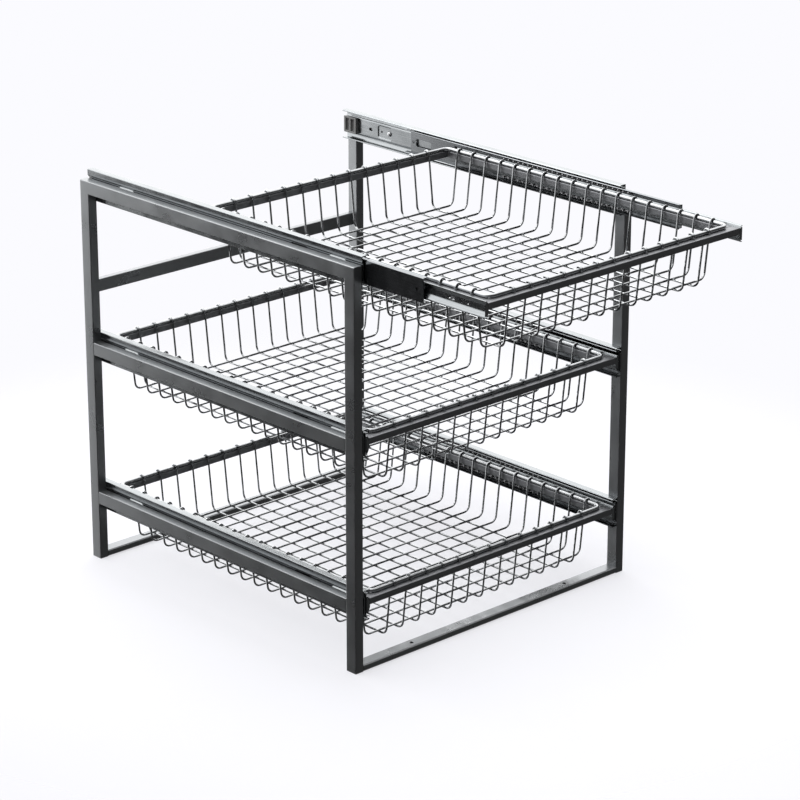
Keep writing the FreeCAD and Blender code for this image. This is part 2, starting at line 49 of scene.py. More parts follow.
# ---- tubes of the frame and the hoops ----
TUBE_WALL = 1.5 * MM
TUBE_RADIUS = 1.3 * MM
CROSSBAR_RADIUS = 1.5 * MM
HOOP_WIDTH = 15.0 * MM
HOOP_WALL = 1.0 * MM
HOOP_RADIUS = 1.2 * MM
BORE_RADIUS = 0.8 * MM           # inner corners of every tube
CORNER_STEPS = 4
WELD = 0.01 * MM                 # points nearer than this become one

# ---- worn edges ----
RAIL_EDGE = 0.12 * MM
CROSSBAR_EDGE = 0.3 * MM
HOOP_EDGE = 0.2 * MM
MEMBER_EDGE = 0.1 * MM
STOP_EDGE = 0.6 * MM
EDGE_ANGLE = math.radians(40.0)  # sharper edges than this are rounded

# ---- wires and rims ----
ROD = 6.0 * MM
ROD_CORNER = 11.0 * MM
ROD_SIDES = 14
WIRE = 3.0 * MM
WIRE_SIDES = 10
HOOK = (ROD + WIRE) / 2.0        # radius of a wire's bend round the rim rod
WIRE_END = 1.0 * MM              # hooked end above the hoop
WIRE_TIP = 0.35 * MM             # rounding of a wire's cut end
BASKET_DEPTH = 91.5 * MM
WALL_TAPER = 10.0 * MM
FLOOR_BEND = 11.0 * MM
CROSS_PITCH, CROSS_COUNT = 30.0 * MM, 18
LONG_PITCH, LONG_COUNT = 32.0 * MM, 13


# ---- slides: u runs from the rail's face to the drawer, v from the centre line to a flange ----
def section(*points):
    """Half section of a member, or of a screw, from points in millimetres."""
    return [(u * MM, v * MM) for u, v in points]


SHEET = 1.2 * MM
TOLERANCE = 0.1 * MM             # on a face's place where faces are picked
SLIDE_LENGTH = 600.0 * MM
MEMBER_LENGTH = 571.0 * MM       # middle and drawer members
WEB_CUTBACK = 8.0 * MM           # the web ends short of the flanges at the rear
HOLE_SIDES = 16
PIN_HOLE = 2.3 * MM
WINDOW_CORNER = 3.0 * MM
CHANNEL_BEND = 1.0 * MM

WEB_RECESS = 1.5 * MM            # the cabinet member's web stands off the rail
CABINET_SECTION = section((1.5, 12.5), (0.0, 14.0), (0.0, 23.0), (10.5, 23.0), (11.7, 21.8))
CABINET_WINDOW = (35.0 * MM, 22.5 * MM)
CABINET_WINDOW_PLACE = 129.5 * MM
CABINET_SLOT = (2.5 * MM, 4.0 * MM)
CABINET_SLOT_PLACE = 543.0 * MM
POCKET = (36.0 * MM, 22.5 * MM)
POCKET_SLOPE = 1.5 * MM
POCKET_CORNER = 6.0 * MM
POCKET_STEPS = 5
POCKET_PLACES = (51.0 * MM, 510.0 * MM)
SCREW_HOLE = 2.1 * MM
SCREW_PLACES = (59.0 * MM, 502.0 * MM)
SPARE_HOLE_PLACES = (43.0 * MM, 519.0 * MM)

MIDDLE_SECTION = section((4.6, 17.6), (10.1, 17.6), (11.3, 18.8))
MIDDLE_WINDOW = (34.0 * MM, 12.2 * MM)
MIDDLE_WINDOW_PLACE = MEMBER_LENGTH - 36.0 * MM
MIDDLE_HOLE_PLACES = (MEMBER_LENGTH - 13.5 * MM, 13.0 * MM)

DRAWER_SECTION = section((12.7, 4.5), (9.6, 12.2), (6.9, 12.2))
DRAWER_BEND = 1.2 * MM
DRAWER_SLOT = (3.0 * MM, 6.0 * MM)
DRAWER_SLOT_PLACE = 68.0 * MM
DRAWER_HOLE_PLACES = (38.0 * MM, 49.0 * MM)
TAB_WIDTH, TAB_HEIGHT = 4.6 * MM, 19.0 * MM
TAB_CHAMFER = 3.0 * MM

BALL = 4.0 * MM
BALLS_IN_ROW = 26
CAGE_SHEET = 0.5 * MM
CAGE_POCKET = BALL + 0.3 * MM
CAGE_LIP = 0.8 * MM              # the cage reaches this far beyond the balls' centres
CAGE_CREASE = 50.0
# name, u of the cage's rail edge, v of the row of balls, u of the balls
CAGES = (("outer", 4.05 * MM, 19.7 * MM, 7.55 * MM), ("inner", 6.35 * MM, 14.3 * MM, 9.1 * MM))

SCREW_PROFILE = section((-6.3, 0.0), (-6.3, 2.0), (1.2, 2.0), (1.2, 4.5), (1.8, 4.5), (2.7, 4.0),
                        (3.3, 3.0), (3.5, 1.6))
SCREW_TOP = 3.5 * MM
SCREW_STEPS = 20
SCREW_WELD = 0.001 * MM
SCREW_REACH = 8.0 * MM           # every open edge of a screw lies nearer to it than this
RECESS_HALF, RECESS_DEPTH = 1.2 * MM, 0.6 * MM
RECESS_ARM = 1.0 * MM            # the corner squares of the recess lie further out than this

STOP_SIZE = (6.0 * MM, 28.0 * MM, 26.0 * MM)
STOP_U, STOP_PLACE = 5.7 * MM, 586.0 * MM
STOP_RIBS = (576.0 * MM, 584.0 * MM, 588.0 * MM, 596.0 * MM)
STOP_BANDS = (-10.0 * MM, 10.0 * MM)
STOP_POCKETS = (580.0 * MM, 592.0 * MM)
STOP_RIM, STOP_SINK = 0.8 * MM, 3.4 * MM

# ---- stage ----
WHITE = (0.965, 0.965, 1.0, 1.0)
FLOOR_HALF = 2.6
FLOOR_DROP = 0.5 * MM
FLOOR_GREY = (0.33, 0.33, 0.345, 1.0)
FLOOR_GLOW = 0.60
FLOOR_FADE = (0.55, 1.15)        # the floor fades out between these distances from the middle
WALL_DIRECTION = (-0.05, 0.70, 0.71)
WALL_STRENGTH = 2.05
WALL_STOPS = [(0.10, 0.03), (0.48, 0.04), (0.57, 0.15), (0.63, 0.72), (0.74, 0.88), (0.86, 1.0)]
CARD_X = -1.2
CARD_CORNERS = ((-1.4, -0.95), (1.6, -0.95), (1.6, 0.27), (-1.4, 0.95))
CARD_BLACK = (0.02, 0.02, 0.022, 1.0)
LENS, SENSOR = 141.35, 36.0
CAMERA_SPOT = (-2.98983, -3.28339, 1.86459)
CAMERA_PITCH, CAMERA_YAW = 0.345842, 0.753711


# ---- mesh helpers ----
def once(items):
    """Each item once, in the order of its first place."""
    return list(dict.fromkeys(items))


def edges_of(verts):
    return once(edge for vert in verts for edge in vert.link_edges)


def verts_in(geom):
    return [g for g in geom if isinstance(g, bmesh.types.BMVert)]


def edges_in(geom):
    return [g for g in geom if isinstance(g, bmesh.types.BMEdge)]


def all_of(bm):
    return bm.verts[:] + bm.edges[:] + bm.faces[:]


def face_outwards(bm):
    bmesh.ops.recalc_face_normals(bm, faces=bm.faces[:])


def round_off(bm, geom, offset, segments, affect="EDGES"):
    bmesh.ops.bevel(bm, geom=geom, offset=offset, offset_type="OFFSET", segments=segments,
                    profile=0.5, affect=affect, material=-1)


def fill_between(bm, edges, normal):
    """Flat triangles between an outer loop and the loops inside it."""
    bmesh.ops.triangle_fill(bm, use_beauty=True, use_dissolve=False, normal=normal, edges=edges)


def outline_loop(bm, width, height, radius, place, steps=CORNER_STEPS):
    """Edges of a rectangle with rounded corners, made flat about the origin and put in place."""
    before = set(bm.verts)
    corners = bmesh.ops.create_grid(bm, x_segments=1, y_segments=1, size=0.5)["verts"]
    bmesh.ops.scale(bm, vec=(width, height, 1.0), verts=corners)
    round_off(bm, corners, radius, steps, "VERTICES")
    verts = [v for v in bm.verts if v not in before]
    bmesh.ops.delete(bm, geom=list(verts[0].link_faces), context="FACES_ONLY")
    bmesh.ops.transform(bm, matrix=place, verts=verts)
    return edges_of(verts)


def ring_loop(bm, radius, segments, place, stretch=0.0):
    """Edges of a circle, or of a slot with round ends where stretch pulls its halves apart."""
    turned = Matrix.Rotation(math.pi / segments, 4, "Z")
    verts = bmesh.ops.create_circle(bm, cap_ends=False, segments=segments, radius=radius,
                                    matrix=turned)["verts"]
    for sign in (-1.0, 1.0):
        half = [v for v in verts if v.co.x * sign > 0.0]
        bmesh.ops.translate(bm, vec=(sign * stretch / 2.0, 0.0, 0.0), verts=half)
    bmesh.ops.transform(bm, matrix=place, verts=verts)
    return edges_of(verts)


def draw_out(bm, edges, run):
    """Extrude a row of edges along a vector, and give the new row."""
    made = bmesh.ops.extrude_edge_only(bm, edges=edges)["geom"]
    verts = verts_in(made)
    bmesh.ops.translate(bm, vec=run, verts=verts)
    fresh = set(verts)
    return [edge for edge in edges_in(made) if set(edge.verts) <= fresh]


def close_end(bm, edges):
    bmesh.ops.contextual_create(bm, geom=edges)


def bent_rod(bm, points, radii, diameter, sides, steps, tip):
    """Round bar through the points: drawn out along each straight, spun round each bend."""
    heading = (points[1] - points[0]).normalized()
    upright = heading.to_track_quat("Z", "Y").to_matrix().to_4x4()
    edges = ring_loop(bm, diameter / 2.0, sides, Matrix.Translation(points[0]) @ upright)
    close_end(bm, edges)
    at = points[0]
    for corner, after, radius in zip(points[1:-1], points[2:], radii):
        heading = (corner - at).normalized()
        leaving = (after - corner).normalized()
        angle = heading.angle(leaving)
        tangent = radius * math.tan(angle / 2.0)
        start = corner - heading * tangent
        edges = draw_out(bm, edges, start - at)
        axis = heading.cross(leaving).normalized()
        turned = bmesh.ops.spin(bm, geom=edges, cent=start + axis.cross(heading) * radius, axis=axis,
                                dvec=(0, 0, 0), angle=angle, steps=steps, use_duplicate=False)
        edges = edges_in(turned["geom_last"])
        at = corner + leaving * tangent
    edges = draw_out(bm, edges, points[-1] - at)
    close_end(bm, edges)
    if tip:
        rims = [e for e in bm.edges if len(e.link_faces) == 2
                and any(len(f.verts) == sides for f in e.link_faces)]
        round_off(bm, rims, tip, 2)


def punch(bm, face, loops):
    """Fill a flat face again round the loops that pierce it."""
    rim = list(face.edges)
    normal = face.normal.copy()
    bmesh.ops.delete(bm, geom=[face], context="FACES_ONLY")
    fill_between(bm, rim + [e for loop in loops for e in loop], normal)


def mirror_copy(bm):
    """Add the same mesh on the other side of the unit."""
    copy = bmesh.ops.duplicate(bm, geom=all_of(bm))["geom"]
    bmesh.ops.scale(bm, vec=(-1.0, 1.0, 1.0), verts=verts_in(copy))
    bmesh.ops.reverse_faces(bm, faces=[g for g in copy if isinstance(g, bmesh.types.BMFace)])


def turn_over(bm):
    """Move the mesh to the other side of the unit."""
    bmesh.ops.scale(bm, vec=(-1.0, 1.0, 1.0), verts=bm.verts[:])
    bmesh.ops.reverse_faces(bm, faces=bm.faces[:])


def new_object(name, bm, finish):
    mesh = bpy.data.meshes.new(name)
    bm.to_mesh(mesh)
    bm.free()
    mesh.materials.append(finish)
    made = bpy.data.objects.new(name, mesh)
    bpy.context.scene.collection.objects.link(made)
    return made


def make_piece(name, bm, finish, body, nodes, crease=32.0, edge_round=0.0, level=False):
    """Write the mesh to an object that stands for CAD nodes and rides with their body."""
    for edge in bm.edges:
        if len(edge.link_faces) == 2:
            edge.smooth = edge.calc_face_angle() < math.radians(crease)
    for face in bm.faces:
        face.smooth = True
    piece = new_object(name, bm, finish)
    if edge_round:
        bevel = piece.modifiers.new("edge_round", "BEVEL")
        bevel.width = edge_round
        bevel.segments = 2
        bevel.limit_method = "ANGLE"
        bevel.angle_limit = EDGE_ANGLE
    if edge_round or level:
        weighted = piece.modifiers.new("flat_faces", "WEIGHTED_NORMAL")
        weighted.keep_sharp = True
    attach(piece, body)
    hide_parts(*nodes)


# ---- finishes ----
def new_finish(name):
    finish = bpy.data.materials.new(name)
    finish.use_nodes = True
    nodes = finish.node_tree.nodes
    return finish, nodes, finish.node_tree.links, nodes["Principled BSDF"]


def noise(nodes, links, scale, detail, stretch=(1.0, 1.0, 1.0)):
    """Noise on the piece's own coordinates, stretched where the finish has a direction."""
    place = nodes.new("ShaderNodeTexCoord")
    mapping = nodes.new("ShaderNodeMapping")
    mapping.inputs["Scale"].default_value = stretch
    grain = nodes.new("ShaderNodeTexNoise")
    grain.inputs["Scale"].default_value = scale
    grain.inputs["Detail"].default_value = detail
    links.new(place.outputs["Object"], mapping.inputs["Vector"])
    links.new(mapping.outputs["Vector"], grain.inputs["Vector"])
    return grain.outputs["Fac"]


def ramp(nodes, links, source, stops):
    """Colours along a value; stops are (position, grey or colour)."""
    node = nodes.new("ShaderNodeValToRGB")
    elements = node.color_ramp.elements
    while len(elements) < len(stops):
        elements.new(0.5)
    for element, (position, value) in zip(elements, stops):
        element.position = position
        colour = value if isinstance(value, tuple) else (value, value, value)
        element.color = (*colour, 1.0)
    links.new(source, node.inputs["Fac"])
    return node.outputs["Color"]


def relief(nodes, links, shader, source, strength, depth):
    bump = nodes.new("ShaderNodeBump")
    bump.inputs["Strength"].default_value = strength
    bump.inputs["Distance"].default_value = depth
    links.new(source, bump.inputs["Height"])
    links.new(bump.outputs["Normal"], shader.inputs["Normal"])


def split_by_ray(nodes, links, others, camera):
    """One shader for the camera's own rays and another for all others."""
    path = nodes.new("ShaderNodeLightPath")
    mix = nodes.new("ShaderNodeMixShader")
    links.new(path.outputs["Is Camera Ray"], mix.inputs["Fac"])
    links.new(others, mix.inputs[1])
    links.new(camera, mix.inputs[2])
    return mix.outputs["Shader"]


def powder_coat(name, low, high, roughness):
    """Satin metallic powder coat: fine flake, cloudy sheen and orange peel."""
    finish, nodes, links, shader = new_finish(name)
    shader.inputs["Metallic"].default_value = 0.9
    flake = noise(nodes, links, scale=1800.0, detail=2.0)
    links.new(ramp(nodes, links, flake, [(0.35, low), (0.65, high)]), shader.inputs["Base Color"])
    cloud = noise(nodes, links, scale=26.0, detail=3.0)
    links.new(ramp(nodes, links, cloud, [(0.3, roughness - 0.05), (0.7, roughness + 0.05)]),
              shader.inputs["Roughness"])
    peel = noise(nodes, links, scale=420.0, detail=1.0)
    relief(nodes, links, shader, peel, strength=0.12, depth=0.4 * MM)
    return finish


def rolled_steel(name, low, high, rough_low, rough_high, anisotropic):
    """Bright plated strip: streaks along the rolling direction, faint clouds in the plating."""
    finish, nodes, links, shader = new_finish(name)
    shader.inputs["Metallic"].default_value = 1.0
    shader.inputs["Anisotropic"].default_value = anisotropic
    streak = noise(nodes, links, scale=60.0, detail=4.0, stretch=(14.0, 0.35, 14.0))
    links.new(ramp(nodes, links, streak, [(0.3, low), (0.7, high)]), shader.inputs["Base Color"])
    cloud = noise(nodes, links, scale=45.0, detail=2.0)
    links.new(ramp(nodes, links, cloud, [(0.3, rough_low), (0.7, rough_high)]),
              shader.inputs["Roughness"])
    relief(nodes, links, shader, streak, strength=0.06, depth=0.2 * MM)
    return finish


def chrome(name, low, high):
    """Bright chrome plate, with the faint waviness of drawn wire and a few duller patches."""
    finish, nodes, links, shader = new_finish(name)
    shader.inputs["Metallic"].default_value = 1.0
    patch = noise(nodes, links, scale=70.0, detail=2.0)
    links.new(ramp(nodes, links, patch, [(0.3, low), (0.7, high)]), shader.inputs["Base Color"])
    links.new(ramp(nodes, links, patch, [(0.35, 0.06), (0.75, 0.14)]), shader.inputs["Roughness"])
    wave = noise(nodes, links, scale=240.0, detail=1.0)
    relief(nodes, links, shader, wave, strength=0.05, depth=0.3 * MM)
    return finish


def moulded_plastic(name):
    """Glossy dark grey moulding with a fine spark-eroded skin."""
    finish, nodes, links, shader = new_finish(name)
    skin = noise(nodes, links, scale=900.0, detail=3.0)
    links.new(ramp(nodes, links, skin, [(0.3, 0.14), (0.7, 0.20)]), shader.inputs["Base Color"])
    shader.inputs["Roughness"].default_value = 0.28
    relief(nodes, links, shader, skin, strength=0.15, depth=0.2 * MM)
    return finish


FRAME_PAINT = powder_coat("frame_powder_coat", (0.26, 0.27, 0.28), (0.34, 0.35, 0.36), 0.31)
HOOP_PAINT = powder_coat("hoop_powder_coat", (0.21, 0.215, 0.225), (0.29, 0.295, 0.31), 0.42)
SLIDE_ZINC = rolled_steel("slide_zinc", (0.27, 0.285, 0.295), (0.36, 0.375, 0.385), 0.18, 0.28, 0.4)
MIDDLE_ZINC = rolled_steel("middle_zinc", (0.18, 0.19, 0.20), (0.27, 0.28, 0.29), 0.16, 0.26, 0.4)
CAGE_STEEL = rolled_steel("cage_strip", (0.34, 0.34, 0.35), (0.46, 0.46, 0.47), 0.2, 0.3, 0.3)
SCREW_ZINC = rolled_steel("screw_zinc", (0.45, 0.46, 0.47), (0.60, 0.61, 0.62), 0.2, 0.3, 0.0)
STOP_GREY = moulded_plastic("stop_moulding")
BASKET_CHROME = chrome("basket_chrome", (0.38, 0.39, 0.40), (0.50, 0.51, 0.52))


# ---- frame ----
SECTION_TO_AXIS = (
    Matrix(((0, 0, 1, 0), (1, 0, 0, 0), (0, 1, 0, 0), (0, 0, 0, 1))),
    Matrix(((0, 1, 0, 0), (0, 0, 1, 0), (1, 0, 0, 0), (0, 0, 0, 1))),
    Matrix.Identity(4),
)


def hollow_tube(bm, low, high, axis, wall, radius):
    """Tube with rounded corners that fills the box from low to high, open along axis."""
    size = high - low
    across, up = [(1, 2), (2, 0), (0, 1)][axis]
    middle = (low + high) / 2.0
    middle[axis] = low[axis]
    place = Matrix.Translation(middle) @ SECTION_TO_AXIS[axis]
    skin = outline_loop(bm, size[across], size[up], radius, place)
    bore = outline_loop(bm, size[across] - 2.0 * wall, size[up] - 2.0 * wall, BORE_RADIUS, place)
    bmesh.ops.bridge_loops(bm, edges=skin + bore)
    run = Vector((0.0, 0.0, 0.0))
    run[axis] = size[axis]
    made = bmesh.ops.extrude_face_region(bm, geom=bm.faces[:])["geom"]
    bmesh.ops.translate(bm, vec=run, verts=verts_in(made))
    face_outwards(bm)


def saw_end(bm, point, direction):
    """Cut the tube along a plane and close its wall again; direction points at the waste."""
    bmesh.ops.bisect_plane(bm, geom=all_of(bm), plane_co=point, plane_no=direction,
                           clear_outer=True)
    bmesh.ops.remove_doubles(bm, verts=bm.verts[:], dist=WELD)
    bmesh.ops.bridge_loops(bm, edges=[e for e in bm.edges if e.is_boundary])
    face_outwards(bm)


def build_side_frame_tube(node):
    """Post or rail of a side frame; the posts and the top rails meet in mitres."""
    low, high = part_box(node)
    upright = "post" in node
    mitred = upright or "top" in node
    bm = bmesh.new()
    hollow_tube(bm, Vector(low), Vector(high), 2 if upright else 1, TUBE_WALL, TUBE_RADIUS)
    if upright:
        rear = low[1] > 0.0
        outer = high[1] if rear else low[1]
        saw_end(bm, (0.0, outer, high[2]), (0.0, -1.0 if rear else 1.0, 1.0))
    elif mitred:
        for outer, sign in ((low[1], -1.0), (high[1], 1.0)):
            saw_end(bm, (0.0, outer, high[2]), (0.0, sign, -1.0))
    make_piece(node + "_tube", bm, FRAME_PAINT, "frame", [node],
               edge_round=0.0 if mitred else RAIL_EDGE, level=True)


def build_back_crossbar():
    low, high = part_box("back_crossbar")
    bm = bmesh.new()
    hollow_tube(bm, Vector(low), Vector(high), 0, TUBE_WALL, CROSSBAR_RADIUS)
    make_piece("back_crossbar_tube", bm, FRAME_PAINT, "frame", ["back_crossbar"],
               edge_round=CROSSBAR_EDGE)


for side in SIDES:
    for part in ("front_post", "rear_post", "top_rail", "middle_rail", "lower_rail"):
        build_side_frame_tube("%s_%s" % (side, part))
build_back_crossbar()
for node in ("floor_front_crossbar", "floor_rear_crossbar"):
    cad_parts[node].data.materials.clear()
    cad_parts[node].data.materials.append(FRAME_PAINT)


# ---- slides, each drawn on the left side ----
def slide_place(tier):
    """Rail face, frame front and centre height of a tier's left slide."""
    low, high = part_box(tier + "_left_outer_member")
    return low[0], low[1], (low[2] + high[2]) / 2.0


def profile_row(bm, tier, half, front):
    """Points and edges of the half section and its mirror image, at the front of a member."""
    rail, _, middle = slide_place(tier)
    whole = [(u, -v) for u, v in reversed(half)] + list(half)
    verts = [bm.verts.new((rail + u, front, middle + v)) for u, v in whole]
    return verts, [bm.edges.new(pair) for pair in zip(verts, verts[1:])]


def sheet_member(bm, tier, half, front, length, bend):
    """Thin rolled channel: its profile drawn out along the slide, its corners bent round."""
    verts, edges = profile_row(bm, tier, half, front)
    draw_out(bm, edges, Vector((0.0, length, 0.0)))
    bends = [e for v in verts[1:-1] for e in v.link_edges if len(e.link_faces) == 2]
    round_off(bm, bends, bend, 3)
    face_outwards(bm)


def web_face(bm):
    """The largest face that stands square to X: the flat web of a member."""
    flat = [f for f in bm.faces if abs(f.normal.x) > 0.99]
    return max(flat, key=lambda f: f.calc_area())


def web_spot(tier, u, y, front):
    """Placement on a web of what is drawn flat; y runs back from the member's front."""
    rail, _, middle = slide_place(tier)
    return Matrix.Translation((rail + u, front + y, middle)) @ SECTION_TO_AXIS[0]


def thicken(bm, drawer_side_kept):
    """Give the shell its thickness, on the rail side or on the drawer side of what is drawn."""
    face_outwards(bm)
    if (web_face(bm).normal.x > 0.0) != drawer_side_kept:
        bmesh.ops.reverse_faces(bm, faces=bm.faces[:])
    bmesh.ops.solidify(bm, geom=bm.faces[:], thickness=SHEET)
    face_outwards(bm)


def press_pocket(bm, tier, front, place, holes):
    """Shallow pocket that reaches the rail, its floor pierced; gives the edges of its rim."""
    length, height = POCKET
    rim = outline_loop(bm, length, height, POCKET_CORNER,
                       web_spot(tier, WEB_RECESS, place, front), POCKET_STEPS)
    foot = outline_loop(bm, length - 2.0 * POCKET_SLOPE, height - 2.0 * POCKET_SLOPE,
                        POCKET_CORNER - POCKET_SLOPE, web_spot(tier, 0.0, place, front),
                        POCKET_STEPS)
    bmesh.ops.bridge_loops(bm, edges=rim + foot)
    rings = [ring_loop(bm, SCREW_HOLE, HOLE_SIDES, web_spot(tier, 0.0, y, front)) for y in holes]
    fill_between(bm, foot + [e for ring in rings for e in ring], (1.0, 0.0, 0.0))
    return rim


def cut_back_web(bm, web_x, end):
    """Take the web away beyond end, and give what is left of it."""
    web = web_face(bm)
    bmesh.ops.bisect_plane(bm, geom=[web, *web.edges, *web.verts], plane_co=(0.0, end, 0.0),
                           plane_no=(0.0, 1.0, 0.0))
    flat = [f for f in bm.faces if abs(f.calc_center_median().x - web_x) < TOLERANCE]
    waste = [f for f in flat if f.calc_center_median().y > end]
    bmesh.ops.delete(bm, geom=waste, context="FACES")
    return max((f for f in flat if f.is_valid), key=lambda f: f.calc_area())


def make_member(bm, tier, side, kind, finish, body, node_kind):
    """Slide member as a piece, turned over to the other side of the unit for the right slide."""
    if side == "right":
        turn_over(bm)
    make_piece("%s_%s_%s_member" % (tier, side, kind), bm, finish, body,
               ["%s_%s_%s_member" % (tier, side, node_kind)], edge_round=MEMBER_EDGE)


def build_cabinet_member(tier, side):
    rail, front, _ = slide_place(tier)
    bm = bmesh.new()
    sheet_member(bm, tier, CABINET_SECTION, front, SLIDE_LENGTH, CHANNEL_BEND)
    web = cut_back_web(bm, rail + WEB_RECESS, front + SLIDE_LENGTH - WEB_CUTBACK)
    radius, stretch = CABINET_SLOT
    loops = [outline_loop(bm, *CABINET_WINDOW, WINDOW_CORNER,
                          web_spot(tier, WEB_RECESS, CABINET_WINDOW_PLACE, front)),
             ring_loop(bm, radius, HOLE_SIDES,
                       web_spot(tier, WEB_RECESS, CABINET_SLOT_PLACE, front), stretch)]
    loops += [press_pocket(bm, tier, front, place, holes)
              for place, *holes in zip(POCKET_PLACES, SCREW_PLACES, SPARE_HOLE_PLACES)]
    punch(bm, web, loops)
    thicken(bm, drawer_side_kept=False)
    make_member(bm, tier, side, "cabinet", SLIDE_ZINC, "frame", "outer")


def build_middle_member(tier, side):
    rail, _, _ = slide_place(tier)
    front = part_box("%s_left_intermediate_member" % tier)[0][1]
    bm = bmesh.new()
    web_u = MIDDLE_SECTION[0][0]
    sheet_member(bm, tier, MIDDLE_SECTION, front, MEMBER_LENGTH, CHANNEL_BEND)
    web = cut_back_web(bm, rail + web_u, front + MEMBER_LENGTH - WEB_CUTBACK)
    loops = [outline_loop(bm, *MIDDLE_WINDOW, WINDOW_CORNER,
                          web_spot(tier, web_u, MIDDLE_WINDOW_PLACE, front))]
    loops += [ring_loop(bm, PIN_HOLE, HOLE_SIDES, web_spot(tier, web_u, y, front))
              for y in MIDDLE_HOLE_PLACES]
    punch(bm, web, loops)
    thicken(bm, drawer_side_kept=False)
    make_member(bm, tier, side, "middle", MIDDLE_ZINC, tier + "_intermediates", "intermediate")


def build_drawer_member(tier, side):
    """Member that carries the hoop, with a chamfered tab across its front."""
    rail, _, middle = slide_place(tier)
    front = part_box("%s_left_inner_member" % tier)[0][1]
    bm = bmesh.new()
    web_u, tip_u = DRAWER_SECTION[0][0], DRAWER_SECTION[-1][0]
    sheet_member(bm, tier, DRAWER_SECTION, front, MEMBER_LENGTH, DRAWER_BEND)
    radius, stretch = DRAWER_SLOT
    web = web_face(bm)
    loops = [ring_loop(bm, radius, HOLE_SIDES, web_spot(tier, web_u, DRAWER_SLOT_PLACE, front),
                       stretch)]
    loops += [ring_loop(bm, PIN_HOLE, HOLE_SIDES, web_spot(tier, web_u, y, front))
              for y in DRAWER_HOLE_PLACES]
    punch(bm, web, loops)
    thicken(bm, drawer_side_kept=True)
    tab_x = rail + tip_u + TAB_WIDTH / 2.0
    tab = bmesh.ops.create_cube(bm, size=1.0)["verts"]
    bmesh.ops.scale(bm, vec=(TAB_WIDTH, SHEET, TAB_HEIGHT), verts=tab)
    bmesh.ops.translate(bm, vec=(tab_x, front + SHEET / 2.0, middle), verts=tab)
    corner = [e for e in edges_of(tab) if e.verts[0].co.x > tab_x
              and abs(e.verts[0].co.y - e.verts[1].co.y) > SHEET / 2.0]
    round_off(bm, corner, TAB_CHAMFER, 1)
    make_member(bm, tier, side, "drawer", SLIDE_ZINC, tier + "_drawer", "inner")


def build_ball_cages(tier, which, edge_u, row, ball_u):
    """Pair of thin cages, pocketed along both flanges, each pocket with its ball."""
    node = "%s_%s_ball_cages" % (tier, which)
    rail, _, middle = slide_place(tier)
    low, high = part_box(node)
    pitch = (high[1] - low[1]) / BALLS_IN_ROW
    tooth = pitch - CAGE_POCKET
    throat_u = ball_u - CAGE_POCKET / 2.0
    bm = bmesh.new()
    half = [(edge_u, row), (throat_u, row), (ball_u + CAGE_LIP, row)]
    _, edges = profile_row(bm, tier, half, low[1])
    for run in (tooth / 2.0, CAGE_POCKET, tooth / 2.0) * BALLS_IN_ROW:
        edges = draw_out(bm, edges, Vector((0.0, run, 0.0)))
    middles = [low[1] + pitch * (i + 0.5) for i in range(BALLS_IN_ROW)]
    open_faces = [f for f in bm.faces
                  if f.calc_center_median().x > rail + throat_u
                  and min(abs(f.calc_center_median().y - m) for m in middles) < CAGE_POCKET / 4.0]
    bmesh.ops.delete(bm, geom=open_faces, context="FACES")
    face_outwards(bm)
    bmesh.ops.solidify(bm, geom=bm.faces[:], thickness=CAGE_SHEET)
    for y in middles:
        for z in (middle - row, middle + row):
            bmesh.ops.create_uvsphere(bm, u_segments=8, v_segments=6, radius=BALL / 2.0,
                                      matrix=Matrix.Translation((rail + ball_u, y, z)))
    face_outwards(bm)
    mirror_copy(bm)
    make_piece("%s_%s_cages_and_balls" % (tier, which), bm, CAGE_STEEL,
               "%s_%s_cages" % (tier, which), [node], crease=CAGE_CREASE)


def add_screw(bm, spot):
    """Pan-head screw turned from its profile, with a cross pressed into the head."""
    chain = [bm.verts.new(spot + Vector((u, r, 0.0))) for u, r in SCREW_PROFILE]
    edges = [bm.edges.new(pair) for pair in zip(chain, chain[1:])]
    bmesh.ops.spin(bm, geom=edges, cent=spot, axis=(1, 0, 0), dvec=(0, 0, 0),
                   angle=2.0 * math.pi, steps=SCREW_STEPS, use_merge=True, use_duplicate=False)
    head = spot + Vector((SCREW_TOP, 0.0, 0.0))
    grid = bmesh.ops.create_grid(bm, x_segments=3, y_segments=3, size=RECESS_HALF,
                                 matrix=Matrix.Translation(head) @ SECTION_TO_AXIS[0])["verts"]
    corners = [f for f in once(f for v in grid for f in v.link_faces)
               if (f.calc_center_median() - head).length > RECESS_ARM]
    bmesh.ops.delete(bm, geom=corners, context="FACES")
    cross = once(f for v in grid if v.is_valid for f in v.link_faces)
    rim = [e for e in once(e for f in cross for e in f.edges) if e.is_boundary]
    foot = draw_out(bm, rim, Vector((-RECESS_DEPTH, 0.0, 0.0)))
    bmesh.ops.delete(bm, geom=cross, context="FACES")
    close_end(bm, foot)
    outer = [e for e in bm.edges if e.is_boundary
             and (e.verts[0].co - spot).length < SCREW_REACH and e not in rim]
    fill_between(bm, outer + rim, (1.0, 0.0, 0.0))


def build_slide_screws():
    bm = bmesh.new()
    for tier in TIERS:
        rail, front, middle = slide_place(tier)
        for y in SCREW_PLACES:
            add_screw(bm, Vector((rail, front + y, middle)))
    bmesh.ops.remove_doubles(bm, verts=bm.verts[:], dist=SCREW_WELD)
    face_outwards(bm)
    mirror_copy(bm)
    make_piece("slide_screw_set", bm, SCREW_ZINC, "frame", ["slide_screws"])


